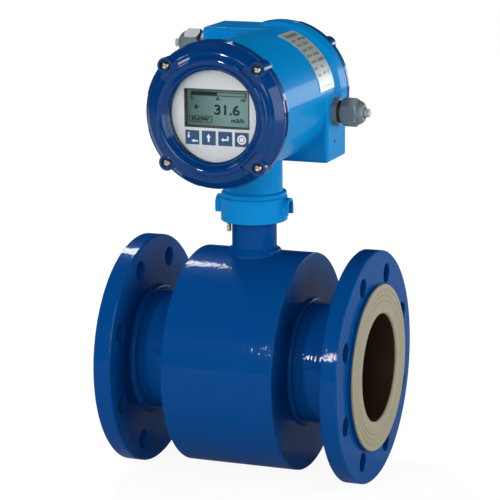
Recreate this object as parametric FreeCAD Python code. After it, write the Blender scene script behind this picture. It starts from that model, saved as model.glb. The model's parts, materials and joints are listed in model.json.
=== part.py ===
"""Flanged electromagnetic flow meter for a DN 100 pipe, with a turning display head.

Frame: millimetres, +X along the pipe, +Z up, the display faces -Y. The origin is the centre
of the measuring bore. Each sub-part is written to parts/NODE.step.
"""
import FreeCAD
import Part
import math
import os

# Fits
seat_gap = 0.1          # nested round faces that don't move against each other
run_gap = 0.3           # pieces that turn or slide past each other
screw_gap = 0.2         # round a screw shank in its hole
past = 1.0              # how far a cut or a hidden overlap runs past a face
weld_root = 1.0         # thin edge of a weld bead

# Measuring tube and its lining
face_to_face = 250.0
tube_r = 57.15          # 114.3 mm pipe
tube_wall = 4.0
liner_wall = 2.05
flare_inset = 0.5       # flare inside the edge of the raised face
flare_t = 2.0
flare_edge = 1.0
bore_mouth = 2.0
groove_inset = 5.5      # outermost sealing groove inside the flare's edge
groove_land = 10.0      # plain land kept round the bore
groove_pitch = 5.0
groove_w = 1.0
groove_depth = 0.5

# Flanges: DN 100 PN 16, eight bolts
flange_r = 110.0
flange_t = 17.0
raised_t = 3.0
bolt_inset = 20.0       # bolt circle inside the rim
bolt_count = 8
bolt_hole_r = 9.0
bolt_hole_chamfer = 0.8
raised_clearance = 2.0  # between the raised face and the bolt holes
flange_chamfer = 1.2
flange_weld = 6.0

# Coil housing: a drum welded round the tube
drum_r = 103.4
drum_wall = 3.0
drum_length = 110.0
end_plate_t = 4.0
plate_weld = 4.0
drum_edge = 1.5
drum_port_r = 14.0

# Magnet: pole shoes and saddle coils above and below the tube, inside a steel yoke
shoe_t = 3.0
shoe_half_angle = 42.0
shoe_half_length = 30.0
core_half_angle = 13.0
core_half_length = 12.0
coil_t = 11.0
coil_half_angle = 38.0
coil_half_length = 28.0
coil_corner = 7.0
core_gap = 0.5
yoke_t = 2.5
yoke_half_length = 16.0

# Electrodes: on the pipe's horizontal diameter
electrode_r = 4.0
electrode_tip = 0.6
electrode_stud_r = 3.0
bush_r = 7.5
bush_flange_r = 10.0
bush_flange_t = 2.5
bush_saddle = 2.0
electrode_nut_flats = 10.0
electrode_nut_t = 5.0
electrode_end = 3.0

# Neck between the drum and the head
neck_r = 21.2           # 42.4 mm tube
neck_wall = 3.0
neck_top = 158.0
neck_weld = 5.0
swivel_r = 25.5
swivel_bottom = 138.0
clamp_groove_depth = 2.5
clamp_groove_w = 7.0
ring_groove_z = 154.0
ring_section_r = 1.1

# Collar of the head, over the swivel ring
collar_r = 31.5
collar_bottom = 134.0
collar_top = 161.5
collar_step = 0.6
collar_band = 4.5
collar_edge = 1.6
collar_cove = 1.5       # soft corner where the throat meets the collar
clamp_z = 148.5
clamp_boss_reach = 36.5
clamp_boss_half_w = 8.0
clamp_shroud_wall = 2.6
clamp_shroud_depth = 4.8
clamp_screw_r = 3.0
clamp_screw_length = 8.5
hex_key_flats = 3.0
hex_key_depth = 2.0
locking_screw_r = 1.9
locking_screw_ring_r = 28.9
locking_screw_angle = 213.8
locking_screw_drop = 8.0
locking_screw_grip = 9.0
locking_slot_w = 0.8
locking_slot_depth = 1.0

# Head casting: two round chambers on one axis, front and back
head_z = 247.5
throat_r = 27.0
throat_bore_r = 18.0
barrel_r = 62.0
barrel_wall = 5.0
front_joint_y = -88.0
rear_joint_y = 80.0
front_flange_out = 4.0  # beyond the barrel, as the next sizes with this ending
front_flange_t = 7.0
rear_band_out = 3.5
rear_band_front_y = 57.0
rear_band_ramp = 4.0

# Bulkhead between the chambers: a plate pressed against a ledge in the casting
bulkhead_front_y = 20.0
bulkhead_t = 6.0
bulkhead_ledge_w = 2.0
bulkhead_ledge_t = 3.0
wire_port_r = 6.0
wire_port_inset = 13.0

# Square shoulders of the casting: lower right and upper left, where the cables enter
shoulder_side_out = 1.0
shoulder_end_out = 0.5
shoulder_front_y = 30.0
shoulder_round = 3.5
shoulder_cove = 3.0     # soft corner where a shoulder's front meets the barrel
shoulder_pocket_front = 5.0
shoulder_pocket_back = 6.0
entry_y = 50.0
entry_right_drop = 15.5
entry_left_rise = 44.0
entry_r = 10.0
spot_face_r = 14.8
pip_r = 1.8
pip_depth = 1.0

# Covers
cover_rim_t = 7.0
cover_edge = 1.4
front_rim_out = 6.0
rear_rim_out = 4.0
screw_inset = 5.7       # from the rim to the screw circle
lug_r = 7.5
casting_lug_r = 6.5
spigot_wall = 4.7
spigot_length = 8.0
seal_groove_w = 3.0
seal_groove_start = 2.0
cover_seal_r = 0.9
rim_notch_half_angle = 14.0
rim_notch_depth = 0.9
rim_lip = 1.6
shoulder_height = 14.3  # front cover, from the joint
shoulder_inset = 6.8
cove_rise = 1.4         # the hollow between flank and ledge
cove_run = 1.5
ledge_height = 16.8
ledge_inset = 11.5
crest_height = 20.0
crest_inset = 17.0
crest_w = 4.4
crest_roll = 2.0
crest_slope = 2.2
bevel_height = 15.4
bevel_inset = 3.0
bevel_draft = 0.9
window_ledge_w = 1.9
window_height = 12.8
window_draft = 0.4
pocket_height = 16.0
pocket_half_angle = 11.5
pocket_inset = 10.5
counterbore_r = 5.2
counterbore_depth = 2.6
pry_slot_angle = 125.0
pry_slot_half_angle = 5.0
pry_slot_depth = 3.0
pry_slot_t = 1.4
rear_shoulder_height = 11.0
rear_ledge_height = 13.0
rear_plate_t = 5.0
rear_recess_inset = 20.0
rear_recess_depth = 2.0

# Cover screws, button heads
cover_screw_r = 2.4
cover_head_r = 3.8
cover_head_height = 4.4
cover_head_dome = 2.8
cover_key_flats = 3.2
cover_key_depth = 2.0
cover_screw_grip = 6.0

# Window
glass_inset = 5.0
glass_t = 4.6
glass_seat_height = 10.6
glass_ring_t = 2.7
glass_ring_w = 3.4

# Dial and display stack, measured back from the joint of the front cover
dial_front = 2.8        # in front of the joint
dial_t = 1.5
dial_gap = 2.0          # round the dial, inside the cover
lcd_w = 63.0
lcd_top = 22.8
lcd_bottom = -12.5
lcd_frame_wall = 1.2
lcd_recess = 4.8
key_w = 13.2
key_h = 12.8
key_pitch = 16.0
key_row = -21.7
key_gap = 0.2
key_proud = 0.3
key_flange = 0.8
key_flange_t = 1.0
key_flange_back = 2.0
key_stem_half = 2.0
key_travel = 0.5
switch_half = 3.0
switch_t = 1.6
board_t = 1.6
display_board_back = 7.2
display_board_gap = 2.5
pillar_rise = 1.2       # up for each mm across, from the middle of the boards
pillar_edge = 2.6385    # to the display board's edge, which puts a pillar 30 across
pillar_foot_r = 4.0
pillar_mid_r = 3.0
pillar_tip_r = 2.0
main_board_y = -30.0
main_board_gap = 3.0
transformer_w = 36.0
transformer_h = 30.0
transformer_t = 26.0
transformer_rise = 14.0
capacitor_r = 8.0
capacitor_length = 24.0
capacitor_pitch = 20.0
capacitor_above_pillar = 14.0

# Terminals in the rear chamber
terminal_count = 8
terminal_pitch = 9.0
terminal_h = 22.0
terminal_t = 14.0
terminal_screw_r = 2.6
terminal_screw_t = 3.0
terminal_well = 1.5

# Cable glands, M20
gland_flats = 24.0
gland_hex_t = 5.2
gland_thread_r = 9.7
gland_thread_length = 10.0
gland_neck_r = 9.2
gland_neck_length = 15.0
gland_seal_t = 3.6
gland_seal_r = 10.6
gland_nut_hex_t = 14.2
gland_dome_t = 7.0
gland_dome_r = 11.6
gland_edge = 1.0        # half the bevel between hexagon and dome
gland_dome_shoulder = 2.4
gland_dome_fall = 1.6
gland_lip = 2.0
gland_mouth_r = 5.4
gland_cable_r = 4.3
gland_plug_r = 4.0
gland_plug_proud = 5.0
gland_plug_length = 22.0
gland_plug_recess = 4.0

# Nameplate, bonded round the barrel
nameplate_t = 0.5
nameplate_from_angle = 18.3
nameplate_to_angle = 83.2
nameplate_front_y = 13.5
nameplate_back_y = 52.5

# Places worked out from the sizes above
seal_face_x = face_to_face / 2
rim_face_x = seal_face_x - flare_t - raised_t
rim_back_x = rim_face_x - flange_t
raised_face_x = rim_face_x + raised_t
tube_bore_r = tube_r - tube_wall
sleeve_r = tube_bore_r - seat_gap
bore_r = sleeve_r - liner_wall
bolt_ring_r = flange_r - bolt_inset
raised_r = bolt_ring_r - bolt_hole_r - raised_clearance
flare_r = raised_r - flare_inset
drum_half = drum_length / 2
shell_half = drum_half - end_plate_t
shoe_r = tube_r + seat_gap
coil_r = shoe_r + shoe_t + seat_gap
yoke_r = coil_r + coil_t + seat_gap
barrel_bore_r = barrel_r - barrel_wall
front_flange_r = barrel_r + front_flange_out
rear_band_r = barrel_r + rear_band_out
shoulder_half_w = barrel_r + shoulder_side_out
shoulder_half_h = barrel_r + shoulder_end_out
front_rim_r = barrel_r + front_rim_out
rear_rim_r = barrel_r + rear_rim_out
pocket_inner_r = barrel_r - pocket_inset
crest_r = front_rim_r - crest_inset
crest_inner_r = crest_r - crest_w
bevel_r = crest_inner_r - bevel_inset
window_r = bevel_r - window_ledge_w
rear_recess_r = rear_rim_r - rear_recess_inset
cover_bore_r = barrel_bore_r - run_gap - spigot_wall
glass_r = cover_bore_r - glass_inset
glass_ring_r = glass_r - glass_ring_w
dial_r = cover_bore_r - dial_gap
display_board_r = cover_bore_r - display_board_gap
main_board_r = barrel_bore_r - main_board_gap
pillar_angle = math.atan(pillar_rise)
pillar_x = (display_board_r - pillar_edge) * math.cos(pillar_angle)
pillar_z = (display_board_r - pillar_edge) * math.sin(pillar_angle)
capacitor_drop = pillar_z - capacitor_above_pillar
wire_port_drop = barrel_bore_r - wire_port_inset
bulkhead_back_y = bulkhead_front_y + bulkhead_t
collar_bore_r = swivel_r + run_gap
clamp_groove_r = swivel_r - clamp_groove_depth
front_screw_r = front_rim_r - screw_inset
rear_screw_r = rear_rim_r - screw_inset
screw_angles = (45.0, 135.0, 225.0, 315.0)
dial_y = front_joint_y - dial_front
dial_back_y = dial_y + dial_t
display_board_y = front_joint_y + display_board_back - board_t
head_axis = (0.0, head_z)


def vec(x, y, z):
    return FreeCAD.Vector(x, y, z)


DIRECTIONS = {"x": vec(1, 0, 0), "y": vec(0, 1, 0), "z": vec(0, 0, 1)}


def point(axis, along, across, centre):
    """A point at a distance along an axis and a radius across it; radius runs up, or to +X for axis z."""
    if axis == "x":
        return vec(along, centre[0], centre[1] + across)
    if axis == "y":
        return vec(centre[0], along, centre[1] + across)
    return vec(centre[0] + across, centre[1], along)


def face_of(axis, corners, centre):
    """A flat face from (along, radius) corners; a pair is an arc through its first point to its second."""
    edges = []
    start = point(axis, *corners[0], centre)
    for corner in corners[1:] + corners[:1]:
        if isinstance(corner[0], tuple):
            middle = point(axis, *corner[0], centre)
            end = point(axis, *corner[1], centre)
            edges.append(Part.Arc(start, middle, end).toShape())
        else:
            end = point(axis, *corner, centre)
            edges.append(Part.makeLine(start, end))
        start = end
    return Part.Face(Part.Wire(edges))


def turned(axis, corners, centre=(0.0, 0.0)):
    return face_of(axis, corners, centre).revolve(point(axis, 0, 0, centre), DIRECTIONS[axis], 360)


def rod(axis, radius, start, end, centre=(0.0, 0.0)):
    low = min(start, end)
    return Part.makeCylinder(radius, abs(end - start), point(axis, low, 0, centre), DIRECTIONS[axis])


def ring(axis, outer, inner, start, end, centre=(0.0, 0.0)):
    return rod(axis, outer, start, end, centre).cut(rod(axis, inner, start, end, centre))


def block(x, y, z):
    """A box between the low and high value on each axis."""
    return Part.makeBox(x[1] - x[0], y[1] - y[0], z[1] - z[0], vec(x[0], y[0], z[0]))


def sector(axis, inner, outer, start, end, middle, half_angle, centre=(0.0, 0.0)):
    """A piece of a ring; angles are from upright, by the right-hand rule about the axis."""
    corners = [(start, inner), (end, inner), (end, outer), (start, outer)]
    face = face_of(axis, corners, centre)
    origin = point(axis, 0, 0, centre)
    face.rotate(origin, DIRECTIONS[axis], middle - half_angle)
    return face.revolve(origin, DIRECTIONS[axis], 2 * half_angle)


def hexagon(axis, flats, start, end, centre=(0.0, 0.0)):
    """A hexagonal prism between two places along an axis."""
    corner_r = flats / math.sqrt(3)
    origin = point(axis, start, 0, centre)
    spoke = point(axis, start, corner_r, centre) - origin
    corners = []
    for side in range(7):
        turn = FreeCAD.Rotation(DIRECTIONS[axis], 60 * side)
        corners.append(origin + turn.multVec(spoke))
    return Part.Face(Part.makePolygon(corners)).extrude(DIRECTIONS[axis] * (end - start))


def on_circle(radius, degrees, centre=(0.0, 0.0)):
    """Cross-axis place at an angle from upright."""
    turn = math.radians(degrees)
    return (centre[0] + radius * math.sin(turn), centre[1] + radius * math.cos(turn))


def dome(base, top, radius):
    """An arc from a radius at one place to a rounded tip on the axis at another."""
    sphere_r = (radius ** 2 + (top - base) ** 2) / (2 * abs(top - base))
    half_turn = math.asin(radius / sphere_r) / 2
    rise = sphere_r * (1 - math.cos(half_turn))
    middle = (top - math.copysign(rise, top - base), sphere_r * math.sin(half_turn))
    return middle, (top, 0)


def rounded(start, corner, end):
    """A quarter arc from start to end, in place of a square corner between them."""
    centre = (start[0] + end[0] - corner[0], start[1] + end[1] - corner[1])
    reach = math.sqrt(0.5)
    middle = (centre[0] + (corner[0] - centre[0]) * reach, centre[1] + (corner[1] - centre[1]) * reach)
    return middle, end


def joined(shapes):
    return shapes[0].fuse(shapes[1:]).removeSplitter()


def mirrored_x(shape):
    return shape.mirror(vec(0, 0, 0), DIRECTIONS["x"])


def mirrored_y(shape):
    return shape.mirror(vec(0, 0, 0), DIRECTIONS["y"])


def group(shapes):
    return Part.makeCompound(shapes)


# ---- sensor ----

def measuring_tube():
    tube = ring("x", tube_r, tube_bore_r, -raised_face_x, raised_face_x)
    return tube.cut(rod("y", bush_r + seat_gap, -tube_r - past, tube_r + past))


def groove_radii():
    """Sealing grooves, as many as fit between the edge of the flare and the land round the bore."""
    radii = []
    radius = flare_r - groove_inset
    while radius > bore_r + groove_land:
        radii.insert(0, radius)
        radius -= groove_pitch
    return radii


def liner():
    """One moulding: a sleeve through the tube, flared over both raised faces, with sealing grooves."""
    mouth = (seal_face_x - bore_mouth, bore_r)
    edge = (seal_face_x, flare_r - flare_edge)
    corners = [
        (0, bore_r),
        mouth,
        rounded(mouth, (seal_face_x, bore_r), (seal_face_x, bore_r + bore_mouth)),
    ]
    for radius in groove_radii():
        corners.append((seal_face_x, radius - groove_w / 2))
        corners.append((seal_face_x - groove_depth, radius))
        corners.append((seal_face_x, radius + groove_w / 2))
    corners += [
        edge,
        rounded(edge, (seal_face_x, flare_r), (seal_face_x - flare_edge, flare_r)),
        (raised_face_x, flare_r),
        (raised_face_x, sleeve_r),
        (0, sleeve_r),
    ]
    half = turned("x", corners)
    body = joined([half, mirrored_x(half)])
    return body.cut(rod("y", electrode_r + seat_gap, -tube_r, tube_r))


def flange():
    """The right-hand flange, with its raised face and the weld behind it."""
    bore = tube_r + seat_gap
    body = turned("x", [
        (rim_back_x - flange_weld, bore),
        (raised_face_x, bore),
        (raised_face_x, raised_r),
        (rim_face_x, raised_r),
        (rim_face_x, flange_r - flange_chamfer),
        (rim_face_x - flange_chamfer, flange_r),
        (rim_back_x + flange_chamfer, flange_r),
        (rim_back_x, flange_r - flange_chamfer),
        (rim_back_x, bore + flange_weld),
        (rim_back_x - flange_weld, bore + weld_root),
    ])
    for number in range(bolt_count):
        angle = 360 / bolt_count * (number + 0.5)
        body = body.cut(bolt_hole(on_circle(bolt_ring_r, angle)))
    return body


def bolt_hole(place):
    """Cutter for one bolt hole, wider at both faces by its chamfer."""
    mouth_r = bolt_hole_r + bolt_hole_chamfer
    return turned("x", [
        (rim_back_x - past, 0),
        (rim_back_x - past, mouth_r + past),
        (rim_back_x + bolt_hole_chamfer, bolt_hole_r),
        (rim_face_x - bolt_hole_chamfer, bolt_hole_r),
        (rim_face_x + past, mouth_r + past),
        (rim_face_x + past, 0),
    ], place)


def coil_housing():
    """The drum's shell, between its end plates, with the port for the leads under the neck."""
    shell = ring("x", drum_r, drum_r - drum_wall, -shell_half, shell_half)
    return shell.cut(rod("z", drum_port_r, drum_r - 2 * drum_wall, drum_r + past))


def end_plate():
    """The right-hand end plate of the drum, rounded at its edge, with its weld to the tube."""
    bore = tube_r + seat_gap
    edge = (drum_half, drum_r - drum_edge)
    return turned("x", [
        (shell_half, bore),
        (drum_half + plate_weld, bore),
        (drum_half + plate_weld, bore + weld_root),
        (drum_half, bore + plate_weld),
        edge,
        rounded(edge, (drum_half, drum_r), (drum_half - drum_edge, drum_r)),
        (shell_half, drum_r),
    ])


def pole_shoe(side):
    """A curved shoe on the tube with the coil's core on it; side is 0 above and 180 below."""
    shoe = sector("x", shoe_r, shoe_r + shoe_t, -shoe_half_length, shoe_half_length, side, shoe_half_angle)
    core = sector("x", shoe_r, yoke_r - seat_gap, -core_half_length, core_half_length, side, core_half_angle)
    return joined([shoe, core])


def saddle_coil(side):
    """A flat winding bent round the tube, with round corners, open in the middle for the core."""
    slab = sector("x", coil_r, coil_r + coil_t, -coil_half_length, coil_half_length, side, coil_half_angle)
    radial = [edge for edge in slab.Edges if edge.Curve.TypeId == "Part::GeomLine"
              and abs(edge.tangentAt(edge.FirstParameter).x) < 0.5]
    slab = slab.makeFillet(coil_corner, radial)
    gap_angle = math.degrees(core_gap / coil_r)
    half_length = core_half_length + core_gap
    window = sector("x", coil_r - past, coil_r + coil_t + past, -half_length, half_length,
                    side, core_half_angle + gap_angle)
    return slab.cut(window)


def yoke_ring():
    return ring("x", yoke_r + yoke_t, yoke_r, -yoke_half_length, yoke_half_length)


def electrode():
    """The rear electrode: a domed tip level with the bore, a shank and a threaded stud."""
    shank_end = tube_r + bush_flange_t
    stud_end = shank_end + electrode_nut_t + electrode_end
    return turned("y", [
        (stud_end, 0),
        (stud_end, electrode_stud_r),
        (shank_end, electrode_stud_r),
        (shank_end, electrode_r),
        (bore_r + electrode_tip, electrode_r),
        dome(bore_r + electrode_tip, bore_r, electrode_r),
    ])


def electrode_bush():
    """Insulating bush of the rear electrode; its foot fits the round of the tube."""
    bore = electrode_r + seat_gap
    bush = rod("y", bush_r, tube_bore_r, tube_r)
    collar = rod("y", bush_flange_r, tube_r - bush_saddle, tube_r + bush_flange_t)
    collar = collar.cut(rod("x", tube_r + seat_gap, -bush_flange_r - past, bush_flange_r + past))
    bush = bush.cut(rod("x", tube_bore_r, -bush_r - past, bush_r + past))
    return joined([bush, collar]).cut(rod("y", bore, 0, tube_r + bush_flange_t + past))


def electrode_nut():
    start = tube_r + bush_flange_t
    nut = hexagon("y", electrode_nut_flats, start, start + electrode_nut_t)
    return nut.cut(rod("y", electrode_stud_r + seat_gap, start, start + electrode_nut_t))


def neck_tube():
    """The tube between drum and head, cut to the round of the drum, with its weld."""
    foot_z = drum_r - neck_weld
    body = turned("z", [
        (foot_z, neck_r - neck_wall),
        (neck_top, neck_r - neck_wall),
        (neck_top, neck_r),
        (drum_r + neck_weld, neck_r),
        (drum_r, neck_r + neck_weld),
        (foot_z, neck_r + neck_weld),
    ])
    return body.cut(rod("x", drum_r + seat_gap, -drum_half, drum_half))


def swivel_ring():
    """Turned ring on the neck that carries the head: one groove for the clamp screws, one for the seal."""
    bore = neck_r + seat_gap
    groove_low = clamp_z - clamp_groove_w / 2
    groove_high = clamp_z + clamp_groove_w / 2
    seal_low = ring_groove_z - ring_section_r - seat_gap
    seal_high = ring_groove_z + ring_section_r + seat_gap
    seal_r = swivel_r - 2 * ring_section_r + seat_gap
    return turned("z", [
        (swivel_bottom, bore),
        (neck_top, bore),
        (neck_top, swivel_r),
        (seal_high, swivel_r),
        (seal_high, seal_r),
        (seal_low, seal_r),
        (seal_low, swivel_r),
        (groove_high, swivel_r),
        (groove_high, clamp_groove_r),
        (groove_low, clamp_groove_r),
        (groove_low, swivel_r),
        (swivel_bottom, swivel_r),
    ])


def round_seal(axis, centre_r, section_r, along, centre=(0.0, 0.0)):
    """A rubber ring of round section about an axis."""
    return Part.makeTorus(centre_r, section_r, point(axis, along, 0, centre), DIRECTIONS[axis])


# ---- head casting ----

def collar():
    """Collar over the swivel ring, with a raised band under its rounded top edge."""
    band_low = collar_top - collar_band
    band_r = collar_r - collar_step
    edge = (collar_top - collar_edge, band_r)
    foot = (collar_top, throat_r + collar_cove)
    return turned("z", [
        (collar_bottom, 0),
        (collar_bottom, collar_r - collar_step),
        (collar_bottom + collar_step, collar_r),
        (band_low - collar_step, collar_r),
        (band_low, band_r - collar_step),
        (band_low + collar_step, band_r),
        edge,
        rounded(edge, (collar_top, band_r), (collar_top, band_r - collar_edge)),
        foot,
        rounded(foot, (collar_top, throat_r), (collar_top + collar_cove, throat_r)),
        (collar_top + collar_cove, 0),
    ])


def arch(half_w, low_z, start_x, end_x):
    """An arch along X: a round top about the clamp screw, straight sides and a flat foot."""
    top = rod("x", half_w, start_x, end_x, (0.0, clamp_z))
    return joined([top, block((start_x, end_x), (-half_w, half_w), (low_z, clamp_z))])


def clamp_boss():
    """The right-hand boss: a shroud round the clamp screw, open outwards and below."""
    foot_z = clamp_z - clamp_boss_half_w
    return arch(clamp_boss_half_w, foot_z, collar_bore_r + past, clamp_boss_reach)


def clamp_shroud_cut():
    foot_z = clamp_z - clamp_boss_half_w
    start = clamp_boss_reach - clamp_shroud_depth
    recess = arch(clamp_boss_half_w - clamp_shroud_wall, foot_z - past, start, clamp_boss_reach + past)
    hole = rod("x", clamp_screw_r + screw_gap, 0, start + past, (0.0, clamp_z))
    return joined([recess, hole])


def shoulder():
    """The lower right square shoulder of the casting, its outer edges rounded."""
    body = block((0, shoulder_half_w), (shoulder_front_y, rear_joint_y), (head_z - shoulder_half_h, head_z))
    chosen = []
    for edge in body.Edges:
        middle = edge.CenterOfMass
        outer = (middle.x == shoulder_half_w) + (middle.z == head_z - shoulder_half_h)
        front = middle.y == shoulder_front_y
        if outer == 2 or (outer == 1 and front):
            chosen.append(edge)
    return body.makeFillet(shoulder_round, chosen)


def shoulder_fillet():
    """The soft corner between the barrel and the front of the lower right shoulder."""
    start = (shoulder_front_y - shoulder_cove, barrel_r)
    end = (shoulder_front_y, barrel_r + shoulder_cove)
    ring_of_metal = turned("y", [
        (shoulder_front_y - shoulder_cove, barrel_r - past),
        start,
        rounded(start, (shoulder_front_y, barrel_r), end),
        (shoulder_front_y + past, barrel_r + shoulder_cove),
        (shoulder_front_y + past, barrel_r - past),
    ], head_axis)
    flat = block((0, shoulder_half_w - shoulder_round),
                 (shoulder_front_y - shoulder_cove - past, shoulder_front_y + 2 * past),
                 (head_z - shoulder_half_h + shoulder_round, head_z))
    return ring_of_metal.common(flat)


def shoulder_pocket():
    """The hollow inside the lower right shoulder."""
    half_w = shoulder_half_w - barrel_wall
    half_h = shoulder_half_h - barrel_wall
    front = shoulder_front_y + shoulder_pocket_front
    back = rear_joint_y - shoulder_pocket_back
    return block((0, half_w), (front, back), (head_z - half_h, head_z))


def opposite(shape):
    """The same shape turned half a turn about the head's axis."""
    turned_shape = shape.copy()
    turned_shape.rotate(vec(0, 0, head_z), DIRECTIONS["y"], 180)
    return turned_shape


def rear_band():
    return turned("y", [
        (rear_band_front_y, 0),
        (rear_band_front_y, barrel_r - past),
        (rear_band_front_y, barrel_r),
        (rear_band_front_y + rear_band_ramp, rear_band_r),
        (rear_joint_y, rear_band_r),
        (rear_joint_y, 0),
    ], head_axis)


def entry_places():
    """Y and Z of the cable entries and of the blank ones: right, left, blank right, blank left."""
    right = (entry_y, head_z - entry_right_drop)
    left = (entry_y, head_z + entry_left_rise)
    blank_right = (entry_y, head_z - entry_left_rise)
    blank_left = (entry_y, head_z + entry_right_drop)
    return right, left, blank_right, blank_left


def casting_outside():
    shapes = [
        rod("y", barrel_r, front_joint_y, rear_joint_y, head_axis),
        rod("y", front_flange_r, front_joint_y, front_joint_y + front_flange_t, head_axis),
        rear_band(),
        shoulder(),
        opposite(shoulder()),
        shoulder_fillet(),
        opposite(shoulder_fillet()),
        rod("z", throat_r, collar_top - past, head_z),
        collar(),
        clamp_boss(),
        mirrored_x(clamp_boss()),
    ]
    for angle in screw_angles:
        place = on_circle(front_screw_r, angle, head_axis)
        shapes.append(rod("y", casting_lug_r, front_joint_y, front_joint_y + front_flange_t, place))
    return joined(shapes)


def casting_inside():
    """The chambers, with a ledge for the bulkhead between them, and the way down to the neck."""
    ledge_back_y = bulkhead_back_y + bulkhead_ledge_t
    return joined([
        rod("y", barrel_bore_r, front_joint_y - past, bulkhead_back_y, head_axis),
        rod("y", barrel_bore_r - bulkhead_ledge_w, bulkhead_back_y, ledge_back_y, head_axis),
        rod("y", barrel_bore_r, ledge_back_y, rear_joint_y + past, head_axis),
        shoulder_pocket(),
        opposite(shoulder_pocket()),
        rod("z", throat_bore_r, collar_bottom, head_z),
        rod("z", collar_bore_r, collar_bottom - past, neck_top + run_gap),
    ])


def head_housing():
    """One casting: barrel, square shoulders, throat, collar and clamp bosses."""
    body = casting_outside().cut(casting_inside())
    cuts = [clamp_shroud_cut(), mirrored_x(clamp_shroud_cut())]
    for angle in screw_angles:
        front = on_circle(front_screw_r, angle, head_axis)
        rear = on_circle(rear_screw_r, angle, head_axis)
        depth = cover_screw_grip + screw_gap
        cuts.append(rod("y", cover_screw_r + screw_gap, front_joint_y - past, front_joint_y + depth, front))
        cuts.append(rod("y", cover_screw_r + screw_gap, rear_joint_y - depth, rear_joint_y + past, rear))
    right, left, blank_right, blank_left = entry_places()
    inner_x = shoulder_half_w - 3 * barrel_wall
    cuts.append(rod("x", entry_r, inner_x, shoulder_half_w + past, right))
    cuts.append(rod("x", entry_r, -shoulder_half_w - past, -inner_x, left))
    for place, side in ((right, 1), (left, -1)):
        face = side * shoulder_half_w
        cuts.append(rod("x", spot_face_r, face, face + side * barrel_wall, place))
    pip_x = shoulder_half_w - pip_depth
    cuts.append(rod("x", pip_r, pip_x, shoulder_half_w + past, blank_right))
    cuts.append(rod("x", pip_r, -shoulder_half_w - past, -pip_x, blank_left))
    screw_place = on_circle(locking_screw_ring_r, locking_screw_angle)
    cuts.append(rod("z", locking_screw_r + screw_gap, collar_bottom - past,
                    collar_bottom + locking_screw_grip + screw_gap, screw_place))
    return body.cut(joined(cuts))


def bulkhead():
    """The plate between the chambers, with the port for the wires."""
    plate = rod("y", barrel_bore_r - seat_gap, bulkhead_front_y, bulkhead_back_y, head_axis)
    port = rod("y", wire_port_r, bulkhead_front_y - past, bulkhead_back_y + past,
               (0.0, head_z - wire_port_drop))
    return plate.cut(port)


def clamp_screw():
    """The right-hand clamp screw: a set screw whose tip runs in the swivel ring's groove."""
    tip_x = clamp_groove_r + run_gap
    end_x = tip_x + clamp_screw_length
    screw = rod("x", clamp_screw_r, tip_x, end_x, (0.0, clamp_z))
    return screw.cut(hexagon("x", hex_key_flats, end_x - hex_key_depth, end_x + past, (0.0, clamp_z)))


def locking_screw():
    place = on_circle(locking_screw_ring_r, locking_screw_angle)
    low = collar_bottom - locking_screw_drop
    screw = rod("z", locking_screw_r, low, collar_bottom + locking_screw_grip, place)
    slot = block((place[0] - locking_screw_r, place[0] + locking_screw_r),
                 (place[1] - locking_slot_w / 2, place[1] + locking_slot_w / 2),
                 (low - past, low + locking_slot_depth))
    return screw.cut(slot)


# ---- covers ----

def cover_profile(joint_y, facing, rim_r, front_corners):
    """Corners of a cover from the end of its spigot, round its rim and on over its front."""
    def out(height):
        return joint_y + facing * height

    spigot_r = barrel_bore_r - run_gap
    groove_r = spigot_r - 2 * cover_seal_r + seat_gap
    groove_near = -seal_groove_start
    groove_far = -seal_groove_start - seal_groove_w
    edge = (out(cover_rim_t - cover_edge), rim_r)
    back = [
        (out(-spigot_length), spigot_r - spigot_wall),
        (out(-spigot_length), spigot_r),
        (out(groove_far), spigot_r),
        (out(groove_far), groove_r),
        (out(groove_near), groove_r),
        (out(groove_near), spigot_r),
        (out(0), spigot_r),
        (out(0), rim_r),
        edge,
        rounded(edge, (out(cover_rim_t), rim_r), (out(cover_rim_t), rim_r - cover_edge)),
    ]
    front = []
    for corner in front_corners:
        if isinstance(corner[0], tuple):
            front.append(tuple((out(height), radius) for height, radius in corner))
        else:
            front.append((out(corner[0]), corner[1]))
    return back + front


def cover_details(body, joint_y, facing, rim_r, screw_r, pocket_top):
    """Adds the screw lugs, pockets and counterbores, and the notches in the rim."""
    def out(height):
        return joint_y + facing * height

    for angle in screw_angles:
        pocket = sector("y", pocket_inner_r, rim_r + lug_r, out(pocket_top), out(pocket_top + crest_height),
                        angle, pocket_half_angle, head_axis)
        body = body.cut(pocket)
    lugs = []
    for angle in screw_angles:
        lugs.append(rod("y", lug_r, out(0), out(pocket_top), on_circle(screw_r, angle, head_axis)))
    body = joined([body] + lugs)
    cuts = []
    for angle in screw_angles:
        place = on_circle(screw_r, angle, head_axis)
        cuts.append(rod("y", cover_screw_r + screw_gap, out(-past), out(pocket_top + past), place))
        seat = out(pocket_top - counterbore_depth)
        cuts.append(rod("y", counterbore_r, seat, out(pocket_top + past), place))
        cuts.append(sector("y", rim_r - rim_notch_depth, rim_r + past, out(rim_lip), out(cover_rim_t + past),
                           angle + 45, rim_notch_half_angle, head_axis))
    return body.cut(joined(cuts))


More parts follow.
